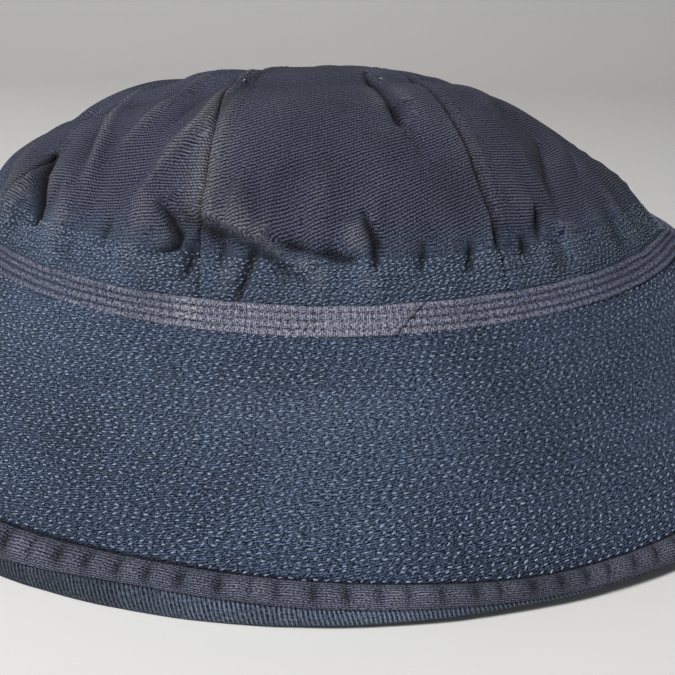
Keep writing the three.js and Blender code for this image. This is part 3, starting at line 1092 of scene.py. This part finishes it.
def hat_band():
    start, end = BAND_END - BAND_LAP, BAND_END + HEAD_LENGTH
    up = np.linspace(TAPE_LOW, TAPE_LOW + TAPE_WIDTH, 26)[None]
    stop = end + BAND_CUT * (up - TAPE_LOW) / TAPE_WIDTH
    distance = start + (stop - start) * np.linspace(0, 1, 900)[:, None]
    angle, up = angle_along(distance), np.broadcast_to(up, distance.shape)
    lap = smooth(distance, end - 18 * MM, end - 12 * MM)
    place = 0.35 * MM * tape_wave(angle)
    lift = 0.12 * MM * tape_fine(angle) + (TAPE_THICK + 0.06 * MM) * lap
    out = tape_out(up) + lift + tape_relief(up)
    outer = band_point(angle, up + place, out)
    inner = band_point(angle, up + place, out - TAPE_THICK)
    uv = np.stack([distance, up], -1) / MM
    lightened = 0.55 * hump(turned(angle) * HEAD.x, -31 * MM, 3.2 * MM) * hump(up, 2.4 * MM, 2.6 * MM)
    lightened = lightened + 0.55 * hump(turned(angle), 0.02, 0.40)
    crest = smooth(tape_relief(up), 0.45 * MM, 0.60 * MM)
    borders = hump(up, TAPE_LOW, 0.6 * MM) + hump(up, TAPE_LOW + TAPE_WIDTH, 0.5 * MM)
    wear = lightened + (0.25 * crest + 0.45 * borders) * (0.6 + 0.4 * tape_fine(angle * 3))
    # Painted shade in the valleys between the tape's cords; the tape is also made darker towards its -X
    # side.
    valley = 1 - smooth(tape_relief(up), 0.20 * MM, 0.50 * MM)
    darkening = 0.65 * valley + 0.22 * smooth(-turned(angle), 0.12, 0.35)
    obj = shell("hat_band_tape", outer, inner, BAND_CLOTH, uv, marks={"wear": wear, "hollow": darkening})
    place_piece(obj, "band_tape", "hat_band")


def band_stitches():
    """Dark thread along the tape's rows; its dark colour is partly painted shade, standing for the shaded
    needle holes.
    """
    def on_tape(angle, up):
        return band_point(angle, up + 0.35 * MM * tape_wave(angle), tape_out(up))

    tape = Surface(on_tape, 0.5 * MM)
    pitch = TAPE_WIDTH / TAPE_ROWS
    angles, ups = [], []
    for row in range(1, TAPE_ROWS):
        distance = np.arange(BAND_END + rng.uniform(0, 1) * MM, BAND_END + HEAD_LENGTH, TAPE_PITCH)
        angles.append(angle_along(distance))
        ups.append(np.full(len(distance), TAPE_LOW + row * pitch))
    angle, up = np.concatenate(angles), np.concatenate(ups)
    obj = stitches("hat_band_stitches", tape, angle, up, DARK_THREAD_AND_HOLE_SHADE, length=1.8 * MM,
                   width=0.50 * MM, height=0.16 * MM, lift=0.20 * MM, tilt=26.0, spread=12.0)
    place_piece(obj, "band_tape")


hat_band()
band_stitches()


# ---- the edge: binding above, and the hem rolled under it ----
edge_wave = Wander(150)
edge_slow = Wander(9)


def outward(angle):
    """The level way outwards from the edge oval at an angle."""
    normal = np.stack([np.sin(angle) / EDGE.x, -np.cos(angle) / EDGE.y, np.zeros_like(angle)], -1)
    return unit(normal)


def swept_edge(name, outline, material, columns, slot, node, marks_at):
    """A closed strip round the brim's edge: outline(angle) gives its section as (out, height) points."""
    angle = np.linspace(0, FULL, columns, endpoint=False)
    section = outline(angle)  # columns, rows, (out, height)
    centre = brim_points(angle, np.ones_like(angle))
    centre[:, 2] = 0
    vertices = (centre[:, None] + outward(angle)[:, None] * section[..., :1]
                + np.array([0, 0, 1.0]) * section[..., 1:])
    rows = section.shape[1]
    steps = np.linalg.norm(np.diff(vertices[:, 0], axis=0, append=vertices[:1, 0]), axis=1)
    round_edge = np.cumsum(steps)
    start_edge = np.concatenate([[0], round_edge[:-1]])
    across = np.broadcast_to(arc_lengths(section, 1).mean(axis=0), (columns, rows))
    uv = np.stack([np.broadcast_to(start_edge[:, None], across.shape), across], -1) / MM
    faces = grid_faces(columns, rows, loop=True, ring=True)
    obj = new_object(name, vertices.reshape(-1, 3), faces, material, uv.reshape(-1, 2),
                     marks_at(angle[:, None], across), wrap=round_edge[-1] / MM)
    face_out(obj)
    place_piece(obj, slot, node)


EDGE_GIRTH = math.pi * (EDGE.x + EDGE.y)
PUCKER_PITCH = 6.4 * MM


def pucker(angle):
    """The binding's stitching draws it in every few millimetres."""
    phase = round(EDGE_GIRTH / PUCKER_PITCH) * angle / 2 + 1.5 * edge_slow(angle) + 0.5 * edge_wave(angle)
    return 2 * np.abs(np.sin(phase)) ** 0.55 - 1 + 0.35 * edge_wave(angle + 0.7)


def binding_outline(angle):
    """Up over the edge: inner top corner, over the puffed top, round the fold, and back under."""
    top = np.linspace(0, 1, 15)[None]
    pull = pucker(angle)[:, None]
    fold = fold_height(angle)[:, None] * MM
    width = binding_width(angle)[:, None] * MM
    reach = width * math.cos(BRIM_TILT)
    start_height = EDGE.z + width * math.sin(BRIM_TILT)
    out = -reach + (reach + 0.9 * MM) * np.sin(top * math.pi / 2)
    line = start_height + 0.5 * MM + (fold - start_height) * (1 - np.cos(top * math.pi / 2))
    puff = np.sin(np.clip(top * 1.05, 0, 1) * math.pi) ** 0.8 * (0.75 + 0.40 * pull) * MM
    upper = np.stack([out + 0.35 * puff, line + puff], -1)
    back = np.linspace(0, 1, 9)[None, 1:]
    under_out = 0.9 * MM - back * (reach + 0.2 * MM)
    under_line = fold + back * (start_height - 1.5 * MM - fold) - 0.35 * MM * np.sin(back * math.pi)
    return np.concatenate([upper, np.stack([under_out, under_line], -1)], 1)


def binding_marks(angle, across):
    middle = hump(across, 4.5 * MM, 3.2 * MM)
    # Painted shade in the hollows between the puckers, and a painted shadow line where the binding meets
    # the brim.
    joint_shadow = 1 - smooth(across, 0, 0.9 * MM)
    return {
        "wear": 0.40 * smooth(pucker(angle), 0.3, 1.3) * middle,
        "hollow": 0.9 * smooth(-pucker(angle), -0.5, 0.6) * middle + 0.9 * joint_shadow,
    }


def hem_outline(angle):
    """A soft roll hanging below the binding's fold, down to the ground."""
    foot = hem_foot(angle)[:, None] * MM
    half = (fold_height(angle)[:, None] * MM + 0.6 * MM - foot) / 2
    turn = np.linspace(math.pi, 3 * math.pi, 20, endpoint=False)[None]
    wave = (0.25 * edge_wave(angle + 1.3) + 0.2 * edge_slow(angle * 3))[:, None] * MM
    flat = np.sign(np.cos(turn)) * np.abs(np.cos(turn)) ** 0.5
    out = -1.0 * MM + wave * 0.5 + 1.5 * MM * flat
    height = foot + half + half * np.sin(turn)
    return np.stack([out, height], -1)


def hem_marks(angle, across):
    shaded = 0.65 * smooth(-turned(angle), math.radians(6), math.radians(16))
    return {
        "wear": np.broadcast_to(0.25 * smooth(edge_wave(angle * 2), 0.2, 1.0), across.shape),
        "hollow": np.broadcast_to(shaded, across.shape),
    }


swept_edge("edge_binding", binding_outline, BINDING_CLOTH, 1500, "binding_twill", "brim_binding",
           binding_marks)
swept_edge("edge_hem", hem_outline, HEM_CLOTH, 1200, "hem_twill", "brim_hem", hem_marks)


# ---- the sweatband inside the crown ----
def sweatband():
    top = 26 * MM
    angle, length = whole_round(480, 1.5 * MM, top, 28)
    set_in = np.minimum(0.35 * MM * soft_noise(angle, length / top), 0)
    outer, inner, uv = layer(crown_up, angle, length, set_in - 1.4 * MM, set_in - 2.3 * MM)
    obj = shell("sweatband_strip", outer, inner, LINING_CLOTH, uv, loop=True)
    place_piece(obj, "sweatband_cloth", "sweatband")


sweatband()


# ---- lint and the loose thread end ----
def strand(name, points, radius, material):
    """A fine round thread through some points, tapering at both ends."""
    points = np.array(points, float)
    place = np.linspace(0, len(points) - 1, 24)
    path = np.stack([np.interp(place, np.arange(len(points)), points[:, k]) for k in range(3)], -1)
    kernel = np.array([0.25, 0.5, 0.25])
    for _ in range(3):
        for k in range(3):
            path[1:-1, k] = np.convolve(path[:, k], kernel, "valid")
    way = unit(np.gradient(path, axis=0))
    side = unit(np.cross(way, np.array([0.3, 0.2, 1.0])))
    up = np.cross(side, way)
    turn = np.linspace(0, FULL, 6, endpoint=False)
    taper = np.clip(np.sin(np.linspace(0.05, 0.95, len(path)) * math.pi) ** 0.3, 0.3, 1)[:, None, None]
    ring = side[:, None] * np.cos(turn)[None, :, None] + up[:, None] * np.sin(turn)[None, :, None]
    vertices = (path[:, None] + ring * radius * taper).reshape(-1, 3)
    quads = grid_faces(len(path), 6, ring=True)[:, ::-1]
    caps = [tuple(range(5, -1, -1)), tuple((len(path) - 1) * 6 + k for k in range(6))]
    faces = [tuple(f) for f in quads] + caps
    return new_object(name, vertices, faces, material)


def loose_thread():
    angle = float(angle_along(BAND_END - 1.5 * MM))
    points = [band_point(np.array(angle + turn), up, out) for turn, up, out in (
        (0.0, 3.2 * MM, 1.0 * MM), (0.004, 2.0 * MM, 1.5 * MM), (-0.002, 0.9 * MM, 1.8 * MM),
        (0.003, 0.2 * MM, 2.0 * MM))]
    place_piece(strand("band_thread_tail", points, 0.16 * MM, WHITE_THREAD), "band_tape")


LINT = [(-7.0, 0.86, 1.4), (-17.0, 0.52, 1.0), (15.0, 0.55, 0.9), (31.0, 0.70, 0.8), (-40.0, 0.66, 0.9)]


def lint():
    for number, (degrees, share, length) in enumerate(LINT):
        angle = math.radians(degrees)
        point, round_way, cross_way, normal = crown.directions(np.array(angle), np.array(share))
        turn = rng.uniform(0, math.pi)
        along = round_way * math.cos(turn) + cross_way * math.sin(turn)
        points = [point + normal * 0.75 * MM + along * length * MM * k + normal * 0.2 * MM * (1 - k * k)
                  for k in (-0.5, 0, 0.5)]
        place_piece(strand(f"lint_{number + 1}", points, 0.10 * MM, WHITE_THREAD), "crown_twill")


loose_thread()
lint()


# ---- floor, light and camera ----
def floor():
    """A pale sheet that runs back and curves up behind the hat."""
    width, front, flat, bend, rise = 3.0, -1.2, 0.605, 0.5, 1.4
    profile = [(front, 0.0), (flat, 0.0)]
    for turn in np.linspace(0.1, math.pi / 2, 14):
        profile.append((flat + bend * math.sin(turn), bend - bend * math.cos(turn)))
    profile.append((flat + bend, rise))
    vertices = [(x, y, z - 0.2 * MM) for y, z in profile for x in (-width, width)]
    faces = [(2 * k, 2 * k + 1, 2 * k + 3, 2 * k + 2) for k in range(len(profile) - 1)]
    n = Nodes("paper")
    where = n.place()
    cloudy = n.noise(where, 1.5, 2.0)
    paper = n.mix(cloudy, colour(0.82, 0.81, 0.79), colour(0.87, 0.86, 0.84))
    material = n.finish(paper, None, 0, roughness=0.9, sheen=0.0)
    obj = new_object("paper_sweep", vertices, faces, material)


def area_light(name, place, aim, size, power, tint=(1.0, 1.0, 1.0)):
    data = bpy.data.lights.new(name, "AREA")
    data.shape = "RECTANGLE"
    data.size, data.size_y = size
    data.energy = power
    data.color = tint
    obj = bpy.data.objects.new(name, data)
    bpy.context.scene.collection.objects.link(obj)
    obj.location = place
    obj.rotation_euler = (Vector(aim) - Vector(place)).to_track_quat("-Z", "Y").to_euler()


def lights():
    middle = (0, 0, POLE.z / 2)
    area_light("key", (-0.52, -0.74, 0.98), middle, (0.22, 0.22), 16.0)
    area_light("fill", (1.1, -0.9, 0.6), middle, (1.2, 1.0), 1.3)
    area_light("back", (-0.3, 1.3, 1.1), middle, (1.4, 0.8), 1.8)
    world = bpy.data.worlds.new("studio")
    world.use_nodes = True
    nodes, links = world.node_tree.nodes, world.node_tree.links
    nodes["Background"].inputs[0].default_value = colour(0.9, 0.94, 1.0)
    # The eye sees a pale surround, which lights the hat only faintly.
    path = nodes.new("ShaderNodeLightPath")
    level = nodes.new("ShaderNodeMapRange")
    level.inputs["To Min"].default_value = 0.08
    level.inputs["To Max"].default_value = 0.62
    links.new(path.outputs["Is Camera Ray"], level.inputs["Value"])
    links.new(level.outputs[0], nodes["Background"].inputs[1])
    bpy.context.scene.world = world


def camera():
    """Looking down a little at the near side, close enough that the brim's ends leave the picture."""
    pitch, yaw, roll = 0.4195, -0.010, 0.024
    place = Vector((0.0078, -0.2824, 0.1326))
    forward = Vector((math.sin(yaw) * math.cos(pitch), math.cos(yaw) * math.cos(pitch), -math.sin(pitch)))
    level = Vector((math.cos(yaw), -math.sin(yaw), 0))
    lifted = level.cross(forward)
    right = level * math.cos(roll) + lifted * math.sin(roll)
    up = lifted * math.cos(roll) - level * math.sin(roll)
    data = bpy.data.cameras.new("eye")
    data.sensor_width = 36
    data.lens = 48.4
    data.clip_start = 0.01
    obj = bpy.data.objects.new("eye", data)
    bpy.context.scene.collection.objects.link(obj)
    turn = Matrix((right, up, -forward)).transposed()
    obj.matrix_world = Matrix.Translation(place) @ turn.to_4x4()
    bpy.context.scene.camera = obj


floor()
lights()
camera()
bpy.context.scene.view_settings.view_transform = "Standard"

def plain(box):
    return [list(corner) for corner in box]
